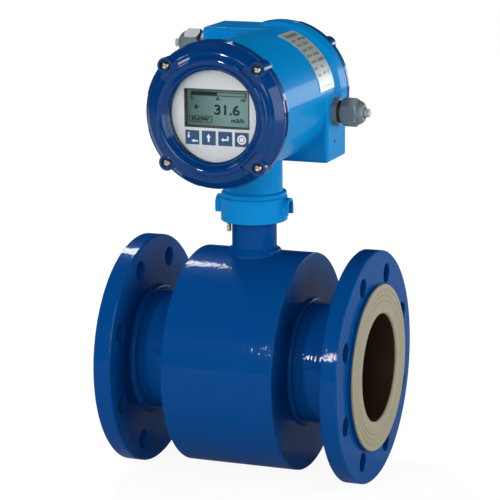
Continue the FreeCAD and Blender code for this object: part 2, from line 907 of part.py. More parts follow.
def front_cover():
    """Ring-shaped cover: conical flank, ledge, rolled crest and a bevel down to the window."""
    bore_height = dial_front + run_gap
    glass_pocket_r = glass_r + screw_gap
    flank_r = front_rim_r - shoulder_inset
    ledge_r = front_rim_r - ledge_inset
    corners = cover_profile(front_joint_y, -1, front_rim_r, [
        (shoulder_height, flank_r),
        ((shoulder_height + cove_rise, flank_r - cove_run), (ledge_height, ledge_r)),
        (crest_height - crest_roll, ledge_r - crest_slope),
        ((crest_height, crest_r), (crest_height - crest_roll, crest_inner_r)),
        (bevel_height, bevel_r + bevel_draft),
        (bevel_height, bevel_r),
        (window_height, window_r),
        (glass_seat_height, window_r + window_draft),
        (glass_seat_height, glass_pocket_r),
        (bore_height, glass_pocket_r),
        (bore_height, cover_bore_r - run_gap),
    ])
    body = turned("y", corners, head_axis)
    body = cover_details(body, front_joint_y, -1, front_rim_r, front_screw_r, pocket_height)
    slot_far = front_joint_y - pry_slot_t
    slots = []
    for angle in (pry_slot_angle, pry_slot_angle + 180):
        slots.append(sector("y", front_rim_r - pry_slot_depth, front_rim_r + past, slot_far,
                            front_joint_y + past, angle, pry_slot_half_angle, head_axis))
    return body.cut(joined(slots))


def rear_cover():
    """Blind cover: the same rim and lugs, with a shallow dished plate."""
    under = rear_ledge_height - rear_plate_t
    flank_r = rear_rim_r - shoulder_inset
    corners = cover_profile(rear_joint_y, 1, rear_rim_r, [
        (rear_shoulder_height, flank_r),
        ((rear_shoulder_height + cove_rise, flank_r - cove_run),
         (rear_ledge_height, rear_rim_r - ledge_inset)),
        (rear_ledge_height, rear_recess_r),
        (rear_ledge_height - rear_recess_depth, rear_recess_r - rear_recess_depth),
        (rear_ledge_height - rear_recess_depth, 0),
        (under - rear_recess_depth, 0),
        (under - rear_recess_depth, barrel_bore_r - run_gap - spigot_wall),
    ])
    body = turned("y", corners, head_axis)
    return cover_details(body, rear_joint_y, 1, rear_rim_r, rear_screw_r, rear_shoulder_height)


def cover_seal(joint_y, facing):
    along = joint_y - facing * (seal_groove_start + seal_groove_w / 2)
    centre_r = barrel_bore_r - cover_seal_r - seat_gap
    return round_seal("y", centre_r, cover_seal_r, along, head_axis)


def cover_screws(joint_y, facing, screw_r, pocket_top):
    """Four button-head screws in one cover."""
    seat = pocket_top - counterbore_depth
    dome_base = joint_y + facing * (seat + cover_head_height - cover_head_dome)
    dome_top = joint_y + facing * (seat + cover_head_height)
    screws = []
    for angle in screw_angles:
        place = on_circle(screw_r, angle, head_axis)
        screw = turned("y", [
            (joint_y - facing * cover_screw_grip, 0),
            (joint_y - facing * cover_screw_grip, cover_screw_r),
            (joint_y + facing * seat, cover_screw_r),
            (joint_y + facing * seat, cover_head_r),
            (dome_base, cover_head_r),
            dome(dome_base, dome_top, cover_head_r),
        ], place)
        socket = hexagon("y", cover_key_flats, dome_top - facing * cover_key_depth, dome_top + facing, place)
        screws.append(screw.cut(socket))
    return group(screws)


def window_glass():
    seat_y = front_joint_y - glass_seat_height
    return rod("y", glass_r, seat_y, seat_y + glass_t, head_axis)


def glass_ring():
    start = front_joint_y - glass_seat_height + glass_t
    return ring("y", glass_r, glass_ring_r, start, start + glass_ring_t, head_axis)


# ---- dial and electronics ----

def key_centres():
    first = -1.5 * key_pitch
    return [first + number * key_pitch for number in range(4)]


def key_block(centre_x, grow, start, end):
    """A key-sized block, larger on each side by grow, between two places along Y."""
    half_w = key_w / 2 + grow
    half_h = key_h / 2 + grow
    middle = head_z + key_row
    return block((centre_x - half_w, centre_x + half_w), (start, end), (middle - half_h, middle + half_h))


def lcd_block(shrink, start, end):
    """The display's outline, smaller on each side by shrink."""
    half = lcd_w / 2 - shrink
    return block((-half, half), (start, end), (head_z + lcd_bottom + shrink, head_z + lcd_top - shrink))


def dial_plate():
    plate = rod("y", dial_r, dial_y, dial_back_y, head_axis)
    cuts = [lcd_block(-seat_gap, dial_y - past, dial_back_y + past)]
    for centre_x in key_centres():
        cuts.append(key_block(centre_x, key_gap, dial_y - past, dial_back_y + past))
    return plate.cut(group(cuts))


def lcd_frame():
    outer = lcd_block(0, dial_y, display_board_y)
    return outer.cut(lcd_block(lcd_frame_wall, dial_y - past, display_board_y + past))


def lcd_panel():
    return lcd_block(lcd_frame_wall + seat_gap, dial_y + lcd_recess, display_board_y)


def key(centre_x):
    """A cap in the dial plate, held from behind by its flange, with a stem to its switch."""
    flange_start = dial_back_y + key_flange_back - key_flange_t - run_gap
    stem_end = display_board_y - switch_t - run_gap - key_travel
    cap = key_block(centre_x, 0, dial_y - key_proud, flange_start)
    flange_block = key_block(centre_x, key_flange, flange_start, flange_start + key_flange_t)
    middle = head_z + key_row
    stem = block((centre_x - key_stem_half, centre_x + key_stem_half), (flange_start, stem_end),
                 (middle - key_stem_half, middle + key_stem_half))
    return joined([cap, flange_block, stem])


def key_switches():
    middle = head_z + key_row
    switches = []
    for centre_x in key_centres():
        switches.append(block((centre_x - switch_half, centre_x + switch_half),
                              (display_board_y - switch_t, display_board_y),
                              (middle - switch_half, middle + switch_half)))
    return group(switches)


def pillar_places():
    return [(x, head_z + z) for x in (-pillar_x, pillar_x) for z in (-pillar_z, pillar_z)]


def board(radius, front_y, hole_r):
    """A round circuit board on the pillars."""
    disc = rod("y", radius, front_y, front_y + board_t, head_axis)
    holes = []
    for place in pillar_places():
        holes.append(rod("y", hole_r + seat_gap, front_y - past, front_y + board_t + past, place))
    return disc.cut(group(holes))


def board_pillars():
    """Four stepped pillars from the bulkhead to the dial plate."""
    pillars = []
    for place in pillar_places():
        pillars.append(turned("y", [
            (dial_back_y, 0),
            (dial_back_y, pillar_tip_r),
            (display_board_y + board_t, pillar_tip_r),
            (display_board_y + board_t, pillar_mid_r),
            (main_board_y + board_t, pillar_mid_r),
            (main_board_y + board_t, pillar_foot_r),
            (bulkhead_front_y, pillar_foot_r),
            (bulkhead_front_y, 0),
        ], place))
    return group(pillars)


def transformer():
    start = main_board_y + board_t
    low = head_z + transformer_rise - transformer_h / 2
    return block((-transformer_w / 2, transformer_w / 2), (start, start + transformer_t),
                 (low, low + transformer_h))


def capacitors():
    start = main_board_y + board_t
    cans = []
    for number in (-1, 0, 1):
        place = (number * capacitor_pitch, head_z - capacitor_drop)
        cans.append(rod("y", capacitor_r, start, start + capacitor_length, place))
    return group(cans)


def terminal_block():
    """A row of screw terminals on the rear of the bulkhead."""
    half = terminal_count * terminal_pitch / 2
    body = block((-half, half), (bulkhead_back_y, bulkhead_back_y + terminal_t),
                 (head_z - terminal_h / 2, head_z + terminal_h / 2))
    wells = []
    for place in terminal_places():
        wells.append(rod("y", terminal_screw_r + seat_gap, bulkhead_back_y + terminal_t - terminal_well
                         - terminal_screw_t, bulkhead_back_y + terminal_t + past, place))
    return body.cut(group(wells))


def terminal_places():
    first = -(terminal_count - 1) / 2 * terminal_pitch
    rise = terminal_h / 4
    return [(first + number * terminal_pitch, head_z + rise) for number in range(terminal_count)]


def terminal_screws():
    start = bulkhead_back_y + terminal_t - terminal_well - terminal_screw_t
    return group([rod("y", terminal_screw_r, start, start + terminal_screw_t, place)
                  for place in terminal_places()])


# ---- cable glands, on the right-hand side; the left-hand ones are turned half a turn ----

def gland_body(place):
    face = shoulder_half_w
    hexagon_end = face + gland_hex_t
    body = joined([
        hexagon("x", gland_flats, face, hexagon_end, place),
        rod("x", gland_thread_r, face - gland_thread_length, face, place),
        rod("x", gland_neck_r, hexagon_end, hexagon_end + gland_neck_length, place),
    ])
    return body.cut(rod("x", gland_cable_r, face - gland_thread_length - past,
                        hexagon_end + gland_neck_length + past, place))


def gland_seal(place):
    start = shoulder_half_w + gland_hex_t
    return ring("x", gland_seal_r, gland_neck_r + seat_gap, start, start + gland_seal_t, place)


def gland_nut(place):
    """Domed nut: hexagon with its far corners turned off, then a dome with a round mouth."""
    start = shoulder_half_w + gland_hex_t + gland_seal_t
    hexagon_end = start + gland_nut_hex_t
    dome_end = hexagon_end + gland_dome_t
    corner_r = gland_flats / math.sqrt(3)
    envelope = turned("x", [
        (start, 0),
        (start, gland_flats / 2),
        (start + corner_r - gland_flats / 2, corner_r),
        (hexagon_end - gland_edge, corner_r),
        (hexagon_end + gland_edge, gland_dome_r),
        ((dome_end - gland_dome_shoulder, gland_dome_r - gland_dome_fall),
         (dome_end, gland_mouth_r + gland_lip)),
        (dome_end, 0),
    ], place)
    body = hexagon("x", gland_flats, start, dome_end, place).common(envelope)
    thread_end = shoulder_half_w + gland_hex_t + gland_neck_length + past
    body = body.cut(rod("x", gland_neck_r + seat_gap, start - past, thread_end, place))
    return body.cut(rod("x", gland_mouth_r, start, dome_end + past, place))


def gland_plug(place):
    """Blanking pin through the gland, headed so that the nut holds it."""
    dome_end = shoulder_half_w + gland_hex_t + gland_seal_t + gland_nut_hex_t + gland_dome_t
    end = dome_end + gland_plug_proud
    collar_start = shoulder_half_w + gland_hex_t + gland_neck_length
    return joined([
        rod("x", gland_plug_r, end - gland_plug_length, end, place),
        rod("x", gland_mouth_r - seat_gap, collar_start, dome_end - gland_plug_recess, place),
    ])


def nameplate():
    middle = (nameplate_from_angle + nameplate_to_angle) / 2
    half_angle = (nameplate_to_angle - nameplate_from_angle) / 2
    inner = barrel_r + seat_gap / 2
    return sector("y", inner, inner + nameplate_t, nameplate_front_y, nameplate_back_y,
                  middle, half_angle, head_axis)


# ---- build ----

def sensor_parts():
    return {
        "measuring_tube": measuring_tube(),
        "liner": liner(),
        "flange_right": flange(),
        "flange_left": mirrored_x(flange()),
        "coil_housing": coil_housing(),
        "end_plate_right": end_plate(),
        "end_plate_left": mirrored_x(end_plate()),
        "pole_shoe_upper": pole_shoe(0),
        "pole_shoe_lower": pole_shoe(180),
        "coil_upper": saddle_coil(0),
        "coil_lower": saddle_coil(180),
        "yoke_ring": yoke_ring(),
        "electrode_rear": electrode(),
        "electrode_front": mirrored_y(electrode()),
        "electrode_bushes": group([electrode_bush(), mirrored_y(electrode_bush())]),
        "electrode_nuts": group([electrode_nut(), mirrored_y(electrode_nut())]),
        "neck_tube": neck_tube(),
        "swivel_ring": swivel_ring(),
        "neck_seal": round_seal("z", swivel_r - ring_section_r + seat_gap, ring_section_r, ring_groove_z),
    }


def head_parts():
    return {
        "head_housing": head_housing(),
        "bulkhead": bulkhead(),
        "clamp_screws": group([clamp_screw(), mirrored_x(clamp_screw())]),
        "locking_screw": locking_screw(),
        "front_cover": front_cover(),
        "front_cover_seal": cover_seal(front_joint_y, -1),
        "front_cover_screws": cover_screws(front_joint_y, -1, front_screw_r, pocket_height),
        "window_glass": window_glass(),
        "glass_ring": glass_ring(),
        "rear_cover": rear_cover(),
        "rear_cover_seal": cover_seal(rear_joint_y, 1),
        "rear_cover_screws": cover_screws(rear_joint_y, 1, rear_screw_r, rear_shoulder_height),
        "nameplate": nameplate(),
    }


def display_parts():
    parts = {
        "dial_plate": dial_plate(),
        "lcd_frame": lcd_frame(),
        "lcd_panel": lcd_panel(),
        "display_board": board(display_board_r, display_board_y, pillar_tip_r),
        "key_switches": key_switches(),
        "board_pillars": board_pillars(),
        "main_board": board(main_board_r, main_board_y, pillar_mid_r),
        "transformer": transformer(),
        "capacitors": capacitors(),
        "terminal_block": terminal_block(),
        "terminal_screws": terminal_screws(),
    }
    names = ("key_arrows", "key_up", "key_enter", "key_ring")
    for name, centre_x in zip(names, key_centres()):
        parts[name] = key(centre_x)
    return parts


def gland_parts():
    makers = {"body": gland_body, "seal": gland_seal, "nut": gland_nut, "plug": gland_plug}
    right, _, blank_right, _ = entry_places()
    parts = {}
    for name, make in makers.items():
        parts["gland_" + name + "_right"] = make(right)
        parts["gland_" + name + "_left"] = opposite(make(blank_right))
    return parts


def main():
    os.makedirs("parts", exist_ok=True)
    parts = {**sensor_parts(), **head_parts(), **display_parts(), **gland_parts()}
    for name, shape in parts.items():
        shape.exportStep("parts/" + name + ".step")


main()
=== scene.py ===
"""Looks of a flanged electromagnetic flow meter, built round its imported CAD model.

Metres, +X along the pipe, +Z up, the display faces -Y, the origin at the centre of the bore.
Each piece is modelled in its place, so its object sits at the origin.
"""
import json
import math

import bmesh
import bpy
from mathutils import Matrix, Vector

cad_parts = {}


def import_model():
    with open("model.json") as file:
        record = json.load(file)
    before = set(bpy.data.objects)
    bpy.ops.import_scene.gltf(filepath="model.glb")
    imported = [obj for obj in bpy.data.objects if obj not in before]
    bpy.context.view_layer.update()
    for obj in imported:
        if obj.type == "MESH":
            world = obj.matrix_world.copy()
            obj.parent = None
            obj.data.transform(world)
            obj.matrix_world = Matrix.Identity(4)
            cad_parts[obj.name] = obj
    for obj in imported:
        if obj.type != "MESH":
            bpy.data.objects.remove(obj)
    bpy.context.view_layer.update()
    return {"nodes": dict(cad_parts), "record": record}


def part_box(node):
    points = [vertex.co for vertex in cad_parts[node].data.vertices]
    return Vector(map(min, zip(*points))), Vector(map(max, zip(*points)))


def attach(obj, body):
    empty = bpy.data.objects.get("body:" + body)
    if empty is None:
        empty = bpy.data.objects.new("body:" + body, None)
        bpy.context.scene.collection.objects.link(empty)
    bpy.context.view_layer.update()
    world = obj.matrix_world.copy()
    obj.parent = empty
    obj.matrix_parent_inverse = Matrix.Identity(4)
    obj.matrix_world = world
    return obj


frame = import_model()
nodes = frame["nodes"]
MM = 0.001
QUARTER = math.pi / 2


# ---- modelling by hand ----

def deselect():
    """Leaves edit mode and selects nothing."""
    if bpy.context.object and bpy.context.object.mode != "OBJECT":
        bpy.ops.object.mode_set(mode="OBJECT")
    bpy.ops.object.select_all(action="DESELECT")


def select_where(piece, passes):
    """In edit mode, selects only the vertices whose place passes a test."""
    bpy.ops.mesh.select_mode(type="VERT")
    bpy.ops.mesh.select_all(action="DESELECT")
    work = bmesh.from_edit_mesh(piece.data)
    place = piece.matrix_world
    for vertex in work.verts:
        vertex.select = passes(place @ vertex.co)
    work.select_flush_mode()
    bmesh.update_edit_mesh(piece.data)


def added():
    """The object that an operator has just added, in edit mode."""
    piece = bpy.context.object
    bpy.ops.object.mode_set(mode="EDIT")
    return piece


def outward():
    """Turns all faces outwards and leaves edit mode."""
    bpy.ops.mesh.select_all(action="SELECT")
    bpy.ops.mesh.normals_make_consistent(inside=False)
    bpy.ops.object.mode_set(mode="OBJECT")


def put_in_place(moved=True, turned=True):
    """Writes the selected object's place, turn and size into its mesh."""
    bpy.ops.object.transform_apply(location=moved, rotation=turned, scale=True)


def merge(pieces):
    """Joins pieces into the first one."""
    deselect()
    for piece in pieces:
        piece.select_set(True)
    bpy.context.view_layer.objects.active = pieces[0]
    if len(pieces) > 1:
        bpy.ops.object.join()
    return pieces[0]


def settle(piece, name, body, material, smooth_angle=35):
    """Finishes a piece: its place, shading, name, finish, body and material slot."""
    merge([piece])
    put_in_place()
    bpy.ops.object.shade_smooth_by_angle(angle=math.radians(smooth_angle))
    piece.name = name
    piece.data.name = name
    piece.data.materials.clear()
    piece.data.materials.append(material)
    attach(piece, body)


# ---- node trees ----

def new_material(name):
    """A material, its node tree and its shader."""
    material = bpy.data.materials.new(name)
    material.use_nodes = True
    tree = material.node_tree
    return material, tree, tree.nodes["Principled BSDF"]


def add_node(tree, kind, **settings):
    """A node with its settings and inputs. An input is linked where the value is a socket."""
    node = tree.nodes.new(kind)
    for name, value in settings.items():
        if name not in node.inputs:
            setattr(node, name, value)
        elif isinstance(value, bpy.types.NodeSocket):
            tree.links.new(value, node.inputs[name])
        else:
            node.inputs[name].default_value = value
    return node


def set_inputs(node, **values):
    """Sets inputs whose names are given with _ for a space."""
    for name, value in values.items():
        node.inputs[name.replace("_", " ")].default_value = value


def object_coordinates(tree):
    return tree.nodes.new("ShaderNodeTexCoord").outputs["Object"]


def maths(tree, operation, *values):
    """The result of a sum of numbers and sockets."""
    node = add_node(tree, "ShaderNodeMath", operation=operation)
    for socket, value in zip(node.inputs, values):
        if isinstance(value, bpy.types.NodeSocket):
            tree.links.new(value, socket)
        else:
            socket.default_value = value
    return node.outputs[0]


def noise(tree, vector, scale, detail):
    """Noise from 0 to 1."""
    return add_node(tree, "ShaderNodeTexNoise", Vector=vector, Scale=scale, Detail=detail).outputs["Fac"]


def ramp(tree, value, start, end, low=0.0, high=1.0):
    """Goes softly from low to high while the value goes from start to end."""
    node = add_node(tree, "ShaderNodeMapRange", interpolation_type="SMOOTHSTEP", Value=value)
    set_inputs(node, From_Min=start, From_Max=end, To_Min=low, To_Max=high)
    return node.outputs["Result"]


def mix_shaders(tree, factor, first, second):
    """The first shader where the factor is 0 and the second one where it is 1."""
    node = tree.nodes.new("ShaderNodeMixShader")
    for source, socket in zip((factor, first, second), node.inputs):
        tree.links.new(source, socket)
    return node.outputs[0]


CLOUD_SHARE = 0.06      # scale of the slow change in colour and gloss, as a share of the peel's
FINE_TIMES = 5          # scale of the finest grain, in times the peel's


def surface_group():
    """Fine unevenness of a painted or moulded surface: a colour shade, a roughness and a bump."""
    group = bpy.data.node_groups.new("surface_grain", "ShaderNodeTree")
    for name in ("Scale", "Fine Scale", "Peel", "Fine", "Shade", "Roughness", "Roughness Change"):
        group.interface.new_socket(name=name, in_out="INPUT", socket_type="NodeSocketFloat")
    for name, way, kind in (("Vector", "INPUT", "Vector"), ("Color", "INPUT", "Color"),
                            ("Color", "OUTPUT", "Color"), ("Roughness", "OUTPUT", "Float"),
                            ("Height", "OUTPUT", "Float")):
        group.interface.new_socket(name=name, in_out=way, socket_type="NodeSocket" + kind)
    start = group.nodes.new("NodeGroupInput").outputs
    end = group.nodes.new("NodeGroupOutput").inputs

    def times(first, second):
        return maths(group, "MULTIPLY", first, second)

    def plus(first, second):
        return maths(group, "ADD", first, second)

    peel = noise(group, start["Vector"], start["Scale"], 1.5)
    fine = noise(group, start["Vector"], start["Fine Scale"], 2.0)
    cloud = noise(group, start["Vector"], times(start["Scale"], CLOUD_SHARE), 3.0)
    centred = maths(group, "SUBTRACT", cloud, 0.5)
    lightness = plus(times(centred, start["Shade"]), 1.0)
    shaded = add_node(group, "ShaderNodeHueSaturation", Color=start["Color"], Value=lightness)
    rough = plus(start["Roughness"], times(centred, start["Roughness Change"]))
    height = plus(times(peel, start["Peel"]), times(fine, start["Fine"]))
    group.links.new(shaded.outputs["Color"], end["Color"])
    group.links.new(rough, end["Roughness"])
    group.links.new(height, end["Height"])
    return group


SURFACE = surface_group()


def bump_normal(tree, height, strength, distance=MM):
    return add_node(tree, "ShaderNodeBump", Strength=strength, Distance=distance,
                    Height=height).outputs["Normal"]


def lay_grain(tree, shader, colour, roughness, scale, peel, fine, shade, change, bump):
    """Feeds the shader a colour with the surface group's shade, roughness and bump."""
    rest = {"Fine Scale": FINE_TIMES * scale, "Roughness Change": change}
    group = add_node(tree, "ShaderNodeGroup", node_tree=SURFACE, Vector=object_coordinates(tree),
                     Color=colour, Scale=scale, Peel=peel, Fine=fine, Shade=shade,
                     Roughness=roughness, **rest)
    tree.links.new(group.outputs["Color"], shader.inputs["Base Color"])
    tree.links.new(group.outputs["Roughness"], shader.inputs["Roughness"])
    tree.links.new(bump_normal(tree, group.outputs["Height"], bump), shader.inputs["Normal"])


def grained(name, colour, roughness, scale=300.0, peel=0.2, fine=0.05, shade=0.1, change=0.08,
            bump=0.2, metallic=0.0, coat=0.0, coat_roughness=0.08, specular=0.5):
    """A material of one colour with fine grain."""
    material, tree, shader = new_material(name)
    lay_grain(tree, shader, (*colour, 1), roughness, scale, peel, fine, shade, change, bump)
    set_inputs(shader, Metallic=metallic, Coat_Weight=coat, Coat_Roughness=coat_roughness,
               Specular_IOR_Level=specular)
    return material


def rough_sprayed(material, scale, strength, depth):
    """Gives the clear coat of a sprayed paint its own orange peel, which breaks up the lamps in it."""
    tree = material.node_tree
    waves = noise(tree, object_coordinates(tree), scale, 1.5)
    coat_normal = tree.nodes["Principled BSDF"].inputs["Coat Normal"]
    tree.links.new(bump_normal(tree, waves, strength, depth), coat_normal)


def faded(name, near, far, start, end, roughness, scale, bump, both_ends=False):
    """A material that goes from one colour to another along X, with fine grain.

    With both_ends it does so towards either end of the piece."""
    material, tree, shader = new_material(name)
    parts = add_node(tree, "ShaderNodeSeparateXYZ", Vector=object_coordinates(tree))
    along = parts.outputs["X"]
    if both_ends:
        along = maths(tree, "ABSOLUTE", along)
    mix = add_node(tree, "ShaderNodeMix", data_type="RGBA", A=(*near, 1), B=(*far, 1),
                   Factor=ramp(tree, along, start, end))
    lay_grain(tree, shader, mix.outputs["Result"], roughness, scale, peel=0.3, fine=0.2, shade=0.12,
              change=0.1, bump=bump)
    set_inputs(shader, Specular_IOR_Level=0.2)
    return material


# ---- materials ----

deep_blue = grained("deep_blue_paint", (0.0005, 0.052, 0.218), 0.34, scale=300, peel=0.9, fine=0.01,
                    shade=0.10, bump=0.17, coat=0.14, coat_roughness=0.04, specular=0.01)
# The covers' blue: the deep blue darkened as painted shade, with a glossier coat of its own.
covers_blue_with_painted_shade = grained("covers_paint_painted_shade", (0.0008, 0.034, 0.150), 0.34, scale=420, peel=0.4, fine=0.03,
                     shade=0.08, bump=0.06, coat=0.45, coat_roughness=0.06, specular=0.01)
light_blue = grained("light_blue_paint", (0.0008, 0.200, 0.520), 0.32, scale=420, peel=0.3,
                     fine=0.03, shade=0.08, bump=0.08, coat=0.11, coat_roughness=0.06, specular=0.01)
plain_steel = grained("plain_steel", (0.52, 0.45, 0.38), 0.30, scale=900, metallic=1.0, bump=0.2)
grey_gland = grained("grey_gland_plastic", (0.11, 0.14, 0.165), 0.38, scale=900, bump=0.15)
pale_plug = grained("pale_plug_plastic", (0.34, 0.37, 0.38), 0.42, scale=900, bump=0.15)
black_rubber = grained("black_rubber", (0.012, 0.012, 0.013), 0.6, scale=900, bump=0.3)
black_plastic = grained("black_plastic", (0.016, 0.018, 0.02), 0.45, scale=900, bump=0.2)
dial_film = grained("dial_film", (0.485, 0.512, 0.532), 0.5, scale=1200, peel=0.2, fine=0.2, shade=0.05,
                    bump=0.08, specular=0.3)
key_film = grained("key_film", (0.008, 0.052, 0.135), 0.4, scale=1200, bump=0.08, specular=0.3)
white_print = grained("white_print", (0.62, 0.66, 0.70), 0.5, scale=1200, bump=0.05)
grey_print = grained("grey_print", (0.17, 0.20, 0.24), 0.5, scale=1200, bump=0.05)
board_green = grained("board_green", (0.01, 0.10, 0.05), 0.4, scale=900, bump=0.1)
copper_winding = grained("copper_winding", (0.55, 0.22, 0.10), 0.35, scale=900, metallic=1.0)
soft_iron = grained("soft_iron", (0.18, 0.18, 0.19), 0.45, scale=700, metallic=1.0)
cast_inside = grained("plain_aluminium", (0.45, 0.46, 0.47), 0.42, scale=700, metallic=0.9, bump=0.3)
silver_film = grained("silver_film", (0.40, 0.42, 0.42), 0.42, scale=1400, metallic=0.35, bump=0.08)
lcd_ink = grained("lcd_ink", (0.003, 0.017, 0.018), 0.5, scale=900, bump=0.03, specular=0.05)
print_ink = grained("print_ink", (0.05, 0.05, 0.055), 0.5, scale=1200, bump=0.03)

rough_sprayed(deep_blue, scale=300.0, strength=0.17, depth=0.9 * MM)


def lining():
    """Hard rubber: dark brown in the bore, going over to tan on the faces of the flares."""
    face_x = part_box("liner")[1].x
    return faded("hard_rubber_lining", (0.030, 0.014, 0.006), (0.290, 0.240, 0.180), face_x - 2.6 * MM,
                 face_x - 1.2 * MM, roughness=0.55, scale=500, bump=0.25, both_ends=True)


def lcd_with_painted_shade():
    """The display's field, darker towards its left end as painted shade from the frame round it."""
    low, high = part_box("lcd_panel")
    # painted shade: the field's colour darkens towards its left end, where its frame shades it
    return faded("lcd_screen_painted_shade", (0.048, 0.106, 0.102), (0.122, 0.216, 0.207), low.x, 0.4 * high.x,
                 roughness=0.45, scale=900, bump=0.02)


def clear_glass():
    """Glass that doesn't bend what is seen through it, with a faint gloss."""
    material, tree, shader = new_material("clear_glass")
    set_inputs(shader, Base_Color=(1, 1, 1, 1), Roughness=0.0, IOR=1.0, Transmission_Weight=1.0,
               Specular_IOR_Level=0.2, Coat_Weight=0.15, Coat_Roughness=0.0)
    return material


FINISHES = {
    "paint_deep_blue": deep_blue, "paint_light_blue": light_blue, "liner_tan": lining(),
    "steel": plain_steel, "soft_iron": soft_iron, "copper": copper_winding, "glass": clear_glass(),
    "dial_grey": dial_film, "lcd_black": black_plastic, "lcd_green": lcd_with_painted_shade(), "key_blue": key_film,
    "board_green": board_green, "part_black": black_plastic, "terminal_grey": grey_gland,
    "gland_grey": grey_gland, "plug_grey": pale_plug, "seal_black": black_rubber,
    "aluminium": cast_inside,
}

# Nodes whose finish isn't the one of their material slot. The covers' blue is the deep blue darkened as
# painted shade, with a glossier coat.
OWN_FINISHES = {"nameplate": silver_film, "front_cover": covers_blue_with_painted_shade, "rear_cover": covers_blue_with_painted_shade}


def dress_nodes():
    """Gives each CAD node its finish."""
    slots = {part["node"]: part["material_slot"] for part in frame["record"]["subparts"]}
    for name, node in nodes.items():
        node.data.materials.clear()
        node.data.materials.append(OWN_FINISHES.get(name, FINISHES[slots[name]]))


dress_nodes()


# ---- welds ----

BEAD_SWELL = 0.28 * MM      # how far a ripple stands out of its bead
END_PLATE_T = 4.0 * MM
FLANGE_FILLET = 6.0 * MM    # how far the fillet behind a flange runs along the tube


def ripple(piece, angle_of, count):
    """Swells every third ring of a bead, so that it shows the ripples of its passes."""
    def crest(place):
        return round(angle_of(place) / (2 * math.pi) * count) % 3 == 0

    select_where(piece, crest)
    bpy.ops.transform.shrink_fatten(value=BEAD_SWELL)


def bead_ring(place, turn, count, radius, section):
    """A plain ring of so many sections, in edit mode."""
    deselect()
    bpy.ops.mesh.primitive_torus_add(location=place, rotation=turn, major_segments=count,
                                     minor_segments=12, major_radius=radius, minor_radius=section)
    return added()


def tube_bead(name, x, radius, section):
    """A weld bead round the measuring tube."""
    count = 156
    bead = bead_ring((x, 0, 0), (0, QUARTER, 0), count, radius, section)
    ripple(bead, lambda place: math.atan2(place.y, place.z) + math.pi, count)
    outward()
    settle(bead, name, "sensor", deep_blue, smooth_angle=60)


def tube_beads():
    """Beads at both ends of the drum and behind both flanges, each sunk into its corner."""
    drum_out = 1.3 * MM
    flange_out = 2.0 * MM
    tube_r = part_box("measuring_tube")[1].z
    plate_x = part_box("coil_housing")[1].x + END_PLATE_T
    flange_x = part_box("flange_right")[0].x + FLANGE_FILLET
    for side, name in ((1, "right"), (-1, "left")):
        tube_bead("drum_bead_" + name, side * (plate_x + drum_out), tube_r + drum_out, 2.4 * MM)
        tube_bead("flange_bead_" + name, side * (flange_x - flange_out), tube_r + flange_out, 3.0 * MM)


def neck_bead():
    """A bead round the foot of the neck, laid over the round of the drum."""
    count = 72
    sunk = 3.6 * MM
    lift = 1.2 * MM
    drum_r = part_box("coil_housing")[1].z
    bead_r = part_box("neck_tube")[1].x - sunk
    bead = bead_ring((0, 0, drum_r), (0, 0, 0), count, bead_r, 2.6 * MM)
    turn = 2 * math.pi / count

    def angle_of(place):
        return math.atan2(place.y, place.x) + math.pi

    for number in range(count):
        across = bead_r * math.sin(number * turn - math.pi)
        fall = math.sqrt(drum_r ** 2 - across ** 2) - drum_r
        select_where(bead, lambda place: round(angle_of(place) / turn) % count == number)
        bpy.ops.transform.translate(value=(0, 0, fall + lift))
    ripple(bead, angle_of, count)
    outward()
    settle(bead, "neck_bead", "sensor", deep_blue, smooth_angle=60)


# ---- printed marks ----

PRINT = 0.06 * MM           # how far a printed mark stands out
CAPITAL = 0.73              # height of a capital in times the size of its type


def raised(mark):
    """Gives the flat mark in edit mode its thickness."""
    bpy.ops.mesh.extrude_region_move(TRANSFORM_OT_translate={"value": (0, -PRINT, 0)})
    outward()
    return mark


def printed_plane(x, z, width, height, front):
    """A flat mark facing -Y with its middle at x, z."""
    deselect()
    bpy.ops.mesh.primitive_plane_add(size=1.0, location=(x, front, z), rotation=(QUARTER, 0, 0))
    bpy.context.object.scale = (width, height, 1)
    put_in_place()
    return raised(added())


def printed_frame(x, z, width, height, line, front):
    """The outline of a box."""
    rows = [printed_plane(x, z + side * (height - line) / 2, width, line, front) for side in (-1, 1)]
    posts = [printed_plane(x + side * (width - line) / 2, z, line, height - 2 * line, front)
             for side in (-1, 1)]
    return rows + posts


def flat_circle(x, z, radius, points, turn, front):
    """A flat circle facing -Y, in edit mode; with 3 points it is an arrow's head."""
    deselect()
    bpy.ops.mesh.primitive_circle_add(vertices=points, radius=radius, fill_type="NGON",
                                      location=(x, front, z), rotation=(QUARTER, turn, 0))
    put_in_place()
    return added()


def arrow_head(x, z, reach, turn, front):
    """A small triangle pointing up, or turned by an angle about -Y."""
    return raised(flat_circle(x, z, reach, 3, turn, front))


def printed_ring(x, z, outer, inner, front):
    """A flat ring facing -Y, or a disc where the inner radius is 0."""
    disc = flat_circle(x, z, outer, 48, 0, front)
    if inner:
        bpy.ops.mesh.inset(thickness=outer - inner)
        bpy.ops.mesh.delete(type="FACE")
        bpy.ops.mesh.select_all(action="SELECT")
    return raised(disc)


def flat_word(words, height, bold, width):
    """Words lying on the ground, reading along +X from the origin, with a little thickness.

    They are stretched to a width, or keep their own where it is 0."""
    deselect()
    bpy.ops.object.text_add()
    text = bpy.context.object
    text.data.body = words
    text.data.size = height / CAPITAL
    text.data.offset = bold
    text.data.extrude = PRINT / 2
    bpy.ops.object.convert(target="MESH")
    text = bpy.context.object
    xs = [vertex.co.x for vertex in text.data.vertices]
    ys = [vertex.co.y for vertex in text.data.vertices]
    stretch = width / (max(xs) - min(xs)) if width else 1
    rise = height / (max(ys) - min(ys))
    text.scale = (stretch, rise, 1)
    text.location = (-min(xs) * stretch, -min(ys) * rise, PRINT / 2)
    put_in_place(turned=False)
    return text


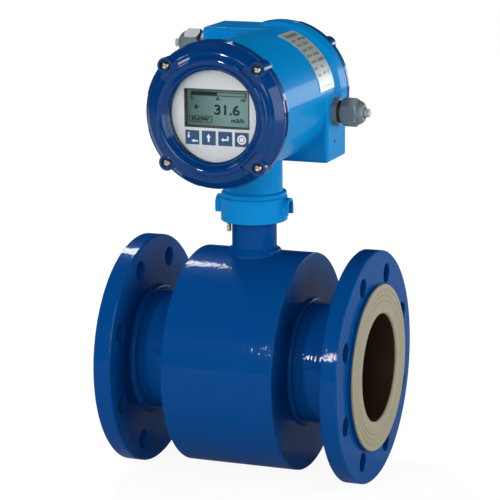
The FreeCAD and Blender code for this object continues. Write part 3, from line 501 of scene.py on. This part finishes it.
def printed_word(words, left, z, height, front, bold, width):
    """Words facing -Y, standing on z from their left end."""
    text = flat_word(words, height, bold, width)
    text.rotation_euler = (QUARTER, 0, 0)
    text.location = (left, front, z)
    put_in_place()
    return text


# What the display shows, in millimetres from its middle: a bar from 0 to 100 and a box, the bar's
# filled part with its ticks and a plus sign, and words.
DISPLAY_LINE = 0.7
DISPLAY_FRAMES = (          # x, z, width, height
    (0.0, 12.7, 53.2, 3.8),
    (-17.6, -10.6, 22.4, 6.0),
)
DISPLAY_BLOCKS = (          # x, z, width, height
    (-13.9, 12.7, 25.4, 3.6),
    (-26.2, 10.1, 0.8, 2.0),
    (-0.6, 10.1, 0.8, 2.0),
    (26.2, 10.1, 0.8, 2.0),
    (-21.7, 0.4, 4.6, 1.5),
    (-21.7, 0.4, 1.5, 4.6),
)
DISPLAY_WORDS = (           # words, left end, foot, height, boldness, width or 0 for its own
    ("0", -26.6, 6.9, 2.4, 0.20, 0),
    ("50", -2.4, 6.9, 2.4, 0.20, 0),
    ("100", 21.4, 6.9, 2.4, 0.20, 0),
    ("31.6", -4.2, -6.2, 9.6, 0.42, 24.7),
    ("FLOW", -26.4, -12.3, 3.5, 0.34, 17.4),
    ("m3/h", 12.0, -12.6, 3.9, 0.26, 12.6),
)


def display_print():
    """The marks on the display."""
    low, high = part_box("lcd_panel")
    front = low.y
    middle = (low.z + high.z) / 2
    marks = []
    for x, z, width, height in DISPLAY_FRAMES:
        marks += printed_frame(x * MM, middle + z * MM, width * MM, height * MM, DISPLAY_LINE * MM, front)
    for x, z, width, height in DISPLAY_BLOCKS:
        marks.append(printed_plane(x * MM, middle + z * MM, width * MM, height * MM, front))
    for words, left, foot, height, bold, width in DISPLAY_WORDS:
        marks.append(printed_word(words, left * MM, middle + foot * MM, height * MM, front, bold * MM,
                                  width * MM))
    settle(merge(marks), "display_print", "head", lcd_ink)


# The signs on the keys, in millimetres from each key's middle. A stroke is x, z, width and height, and
# an arrow's head is x, z, reach and the angle that it is turned by from pointing up.
KEY_SIGNS = (
    ("key_arrows", "arrows_mark", ((-3.4, 3.0, 1.1, 3.0), (3.6, -3.0, 3.6, 1.4)),
     ((-3.4, 0.7, 1.7, math.pi), (1.1, -3.0, 1.9, -QUARTER))),
    ("key_up", "up_mark", ((0.0, -1.3, 1.5, 4.4),), ((0.0, 1.6, 2.4, 0.0),)),
    ("key_enter", "enter_mark", ((0.9, -0.9, 4.6, 1.4), (2.6, 1.0, 1.4, 2.6)),
     ((-2.2, -0.9, 2.0, -QUARTER),)),
)
RING_MARK_R = 4.3 * MM
RING_LINE_OUTER = 2.9 * MM
RING_LINE_INNER = 1.9 * MM


def key_front(key):
    """The middle of a key's front as x, z and y."""
    low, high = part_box(key)
    return (low.x + high.x) / 2, (low.z + high.z) / 2, low.y


def key_marks():
    """White signs on the four keys: two arrows, one arrow, a return arrow and a ring."""
    for key, name, strokes, heads in KEY_SIGNS:
        x, z, front = key_front(key)
        signs = [printed_plane(x + right * MM, z + up * MM, width * MM, height * MM, front)
                 for right, up, width, height in strokes]
        signs += [arrow_head(x + right * MM, z + up * MM, reach * MM, turn, front)
                  for right, up, reach, turn in heads]
        settle(merge(signs), name, key, white_print)
    x, z, front = key_front("key_ring")
    disc = printed_ring(x, z, RING_MARK_R, 0, front)
    settle(disc, "ring_mark", "key_ring", white_print)
    line = printed_ring(x, z, RING_LINE_OUTER, RING_LINE_INNER, front - PRINT)
    settle(line, "ring_mark_inner", "key_ring", grey_print)


NAMEPLATE_ROWS = (
    ("FLOW METER", ""),
    ("SIZE", "DN 100"),
    ("CLASS", "PN 16"),
    ("SUPPLY", "24 V"),
    ("OUTPUT", "20 mA"),
    ("LINING", "RUBBER"),
    ("RATE", "50"),
    ("CASE", "IP 67"),
)
FIRST_ROW = 26.5            # degrees from the top of the barrel
ROW_STEP = 6.2
LINE_ROW = 79.5
# Where words start, as a share of the plate's length, and the height, boldness and width of a letter.
HEADING = (0.12, 4.2 * MM, 0.18 * MM, 2.9 * MM)
TITLE = (0.06, 2.5 * MM, 0.06 * MM, 2.3 * MM)
VALUE = (0.50, 3.1 * MM, 0.14 * MM, 2.9 * MM)
LINE_START = 0.14
LINE_SHARE = 0.72
LINE_HEIGHT = 0.5 * MM


def nameplate_rows():
    """Plain words on the nameplate, in rows along the barrel, and a thin line under them."""
    low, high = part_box("nameplate")
    cover_low, cover_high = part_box("front_cover")
    head_z = (cover_low.z + cover_high.z) / 2
    corners = [vertex.co for vertex in nodes["nameplate"].data.vertices]
    plate_r = max(math.hypot(corner.x, corner.z - head_z) for corner in corners)
    length = high.y - low.y

    def lay(mark, share, angle):
        """Lays a mark on the plate: a share of its length from the front, degrees from the top."""
        around = math.radians(angle)
        mark.rotation_euler = (0, 0, QUARTER)
        put_in_place(moved=False)
        mark.rotation_euler = (0, around, 0)
        mark.location = (plate_r * math.sin(around), low.y + length * share,
                         head_z + plate_r * math.cos(around))
        put_in_place()
        return mark

    def row_word(words, style, angle):
        """Words in a style, as wide as so many letters."""
        share, height, bold, letter = style
        return lay(flat_word(words, height, bold, letter * len(words)), share, angle)

    marks = []
    for number, (title, value) in enumerate(NAMEPLATE_ROWS):
        angle = FIRST_ROW + ROW_STEP * number
        marks.append(row_word(title, TITLE if value else HEADING, angle))
        if value:
            marks.append(row_word(value, VALUE, angle))
    line = flat_word("-", LINE_HEIGHT, 0, length * LINE_SHARE)
    marks.append(lay(line, LINE_START, LINE_ROW))
    settle(merge(marks), "nameplate_rows", "head", print_ink)


# ---- small fasteners ----

def locking_thread():
    """The thread of the long screw under the collar."""
    pitch = 0.7 * MM
    depth = 0.38 * MM
    turns = 11
    steps = 24
    lead_in = 0.9 * MM
    low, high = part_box("locking_screw")
    deselect()
    bpy.ops.mesh.primitive_circle_add(vertices=3, radius=depth, rotation=(QUARTER, 0, 0))
    thread = bpy.context.object
    thread.location = ((high.x - low.x) / 2, 0, 0)
    put_in_place()
    winding = thread.modifiers.new("winding", "SCREW")
    winding.axis = "Z"
    winding.steps = steps
    winding.render_steps = steps
    winding.iterations = turns
    winding.screw_offset = pitch
    bpy.ops.object.modifier_apply(modifier=winding.name)
    bpy.ops.object.mode_set(mode="EDIT")
    bpy.ops.mesh.select_all(action="SELECT")
    bpy.ops.mesh.remove_doubles(threshold=0.01 * MM)
    bpy.ops.mesh.select_all(action="DESELECT")
    bpy.ops.mesh.select_non_manifold()
    bpy.ops.mesh.fill_holes(sides=4)
    outward()
    thread.location = ((low.x + high.x) / 2, (low.y + high.y) / 2, low.z + lead_in)
    settle(thread, "locking_thread", "head", plain_steel)


tube_beads()
neck_bead()
display_print()
key_marks()
nameplate_rows()
locking_thread()


# ---- studio ----

WALL_AZIMUTH = math.radians(125.0)      # where the white wall stands that only gloss can see
CAMERA_AZIMUTH = math.radians(21.38)
CAMERA_ELEVATION = math.radians(12.57)
CAMERA_ROLL = math.radians(-0.55)
CAMERA_DISTANCE = 2.24399
CAMERA_LENS = 169.08
CAMERA_SIDE = -5.34 * MM
CAMERA_RISE = 101.39 * MM


def floor():
    """A white floor that glows a little to the camera, and more so further out."""
    deselect()
    gap = 0.2 * MM
    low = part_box("flange_right")[0].z
    bpy.ops.mesh.primitive_plane_add(size=60.0, location=(0, 0, low - gap))
    ground = bpy.context.object
    ground.name = "studio_floor"
    material, tree, shader = new_material("studio_floor")
    tree.nodes.remove(shader)
    shade = add_node(tree, "ShaderNodeBsdfDiffuse", Color=(0.8, 0.8, 0.8, 1))
    seen = add_node(tree, "ShaderNodeBsdfDiffuse", Color=(0.12, 0.12, 0.12, 1))
    away = add_node(tree, "ShaderNodeVectorMath", operation="LENGTH")
    tree.links.new(object_coordinates(tree), away.inputs[0])
    glow = add_node(tree, "ShaderNodeEmission", Color=(1, 1, 1, 1),
                    Strength=ramp(tree, away.outputs["Value"], start=0.2, end=1.4, low=0.92, high=0.99))
    both = tree.nodes.new("ShaderNodeAddShader")
    tree.links.new(seen.outputs[0], both.inputs[0])
    tree.links.new(glow.outputs[0], both.inputs[1])
    path = tree.nodes.new("ShaderNodeLightPath")
    surface = mix_shaders(tree, path.outputs["Is Camera Ray"], shade.outputs[0], both.outputs[0])
    tree.links.new(surface, tree.nodes["Material Output"].inputs["Surface"])
    ground.data.materials.append(material)


def world():
    """Dim room: white to the camera, with a white wall behind the right side that gloss can see."""
    surroundings = bpy.data.worlds.new("studio")
    bpy.context.scene.world = surroundings
    surroundings.use_nodes = True
    tree = surroundings.node_tree
    plain = tree.nodes["Background"]
    set_inputs(plain, Color=(1, 1, 1, 1), Strength=0.06)
    white = add_node(tree, "ShaderNodeBackground", Color=(1, 1, 1, 1), Strength=1.0)
    direction = tree.nodes.new("ShaderNodeTexCoord").outputs["Generated"]
    toward = add_node(tree, "ShaderNodeVectorMath", operation="DOT_PRODUCT")
    toward.inputs[1].default_value = (math.sin(WALL_AZIMUTH), -math.cos(WALL_AZIMUTH), 0.0)
    tree.links.new(direction, toward.inputs[0])
    wall = ramp(tree, toward.outputs["Value"], start=0.35, end=0.90, low=0.04, high=0.95)
    height = add_node(tree, "ShaderNodeSeparateXYZ", Vector=direction)
    below = ramp(tree, height.outputs["Z"], start=0.02, end=0.30, low=1.0, high=0.06)
    gloss = add_node(tree, "ShaderNodeBackground", Color=(0.72, 0.94, 1.0, 1),
                     Strength=maths(tree, "MULTIPLY", wall, below))
    path = tree.nodes.new("ShaderNodeLightPath").outputs
    room = mix_shaders(tree, path["Is Glossy Ray"], plain.outputs[0], gloss.outputs[0])
    seen = maths(tree, "MAXIMUM", path["Is Camera Ray"], path["Is Transmission Ray"])
    surface = mix_shaders(tree, seen, room, white.outputs[0])
    tree.links.new(surface, tree.nodes["World Output"].inputs["Surface"])


def softbox(name, azimuth, elevation, distance, width, height, level, aim_z=0.0, tint=(1, 1, 1)):
    """An area lamp seen from the object at an azimuth from -Y and an elevation.

    A level of 1 lights a white surface that faces the lamp to full white."""
    turn, rise = math.radians(azimuth), math.radians(elevation)
    toward = Vector((math.sin(turn) * math.cos(rise), -math.cos(turn) * math.cos(rise), math.sin(rise)))
    lamp = bpy.data.lights.new(name, "AREA")
    lamp.shape = "RECTANGLE"
    lamp.size = width
    lamp.size_y = height
    lamp.color = tint
    lamp.energy = level * math.pi ** 2 * distance ** 2
    holder = bpy.data.objects.new(name, lamp)
    bpy.context.collection.objects.link(holder)
    holder.rotation_euler = (-toward).to_track_quat("-Z", "Y").to_euler()
    holder.location = toward * distance + Vector((0, 0, aim_z))


def camera_axes():
    """Right, up and back of the camera."""
    level = Vector((math.cos(CAMERA_AZIMUTH), math.sin(CAMERA_AZIMUTH), 0))
    flat = math.cos(CAMERA_ELEVATION)
    back = Vector((math.sin(CAMERA_AZIMUTH) * flat, -math.cos(CAMERA_AZIMUTH) * flat,
                   math.sin(CAMERA_ELEVATION)))
    right = level * math.cos(CAMERA_ROLL) + back.cross(level) * math.sin(CAMERA_ROLL)
    return right, back.cross(right), back


def camera():
    """The camera, which looks at the middle of the meter from a little above its right."""
    data = bpy.data.cameras.new("camera")
    data.sensor_width = 36.0
    data.lens = CAMERA_LENS
    data.clip_end = 100.0
    right, up, back = camera_axes()
    view = bpy.data.objects.new("camera", data)
    place = back * CAMERA_DISTANCE + right * CAMERA_SIDE + up * CAMERA_RISE
    turn = Matrix((right, up, back)).transposed().to_4x4()
    view.matrix_world = Matrix.Translation(place) @ turn
    bpy.context.collection.objects.link(view)
    bpy.context.scene.camera = view


def studio():
    """The floor, the room, the lamps and the camera."""
    bpy.context.scene.view_settings.view_transform = "Standard"
    world()
    floor()
    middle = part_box("neck_tube")[0].z       # about halfway up the meter
    softbox("front_box", 6, 17, 3.0, 1.3, 1.3, 0.38, middle)
    softbox("right_wall", 88, 12, 2.2, 2.2, 1.7, 1.05, 0.0, (0.88, 1.0, 0.93))
    softbox("back_left_box", -138.5, 48.5, 2.4, 0.26, 0.46, 0.42, middle)
    softbox("low_back_box", 155, 6, 2.4, 1.2, 0.5, 0.20, 0.0)
    softbox("left_lamp", -59, 32, 2.6, 0.60, 0.40, 0.16, 2 * middle)
    softbox("small_lamp", -16.1, 21, 3.0, 0.12, 0.34, 0.28, 0.0)
    camera()


studio()
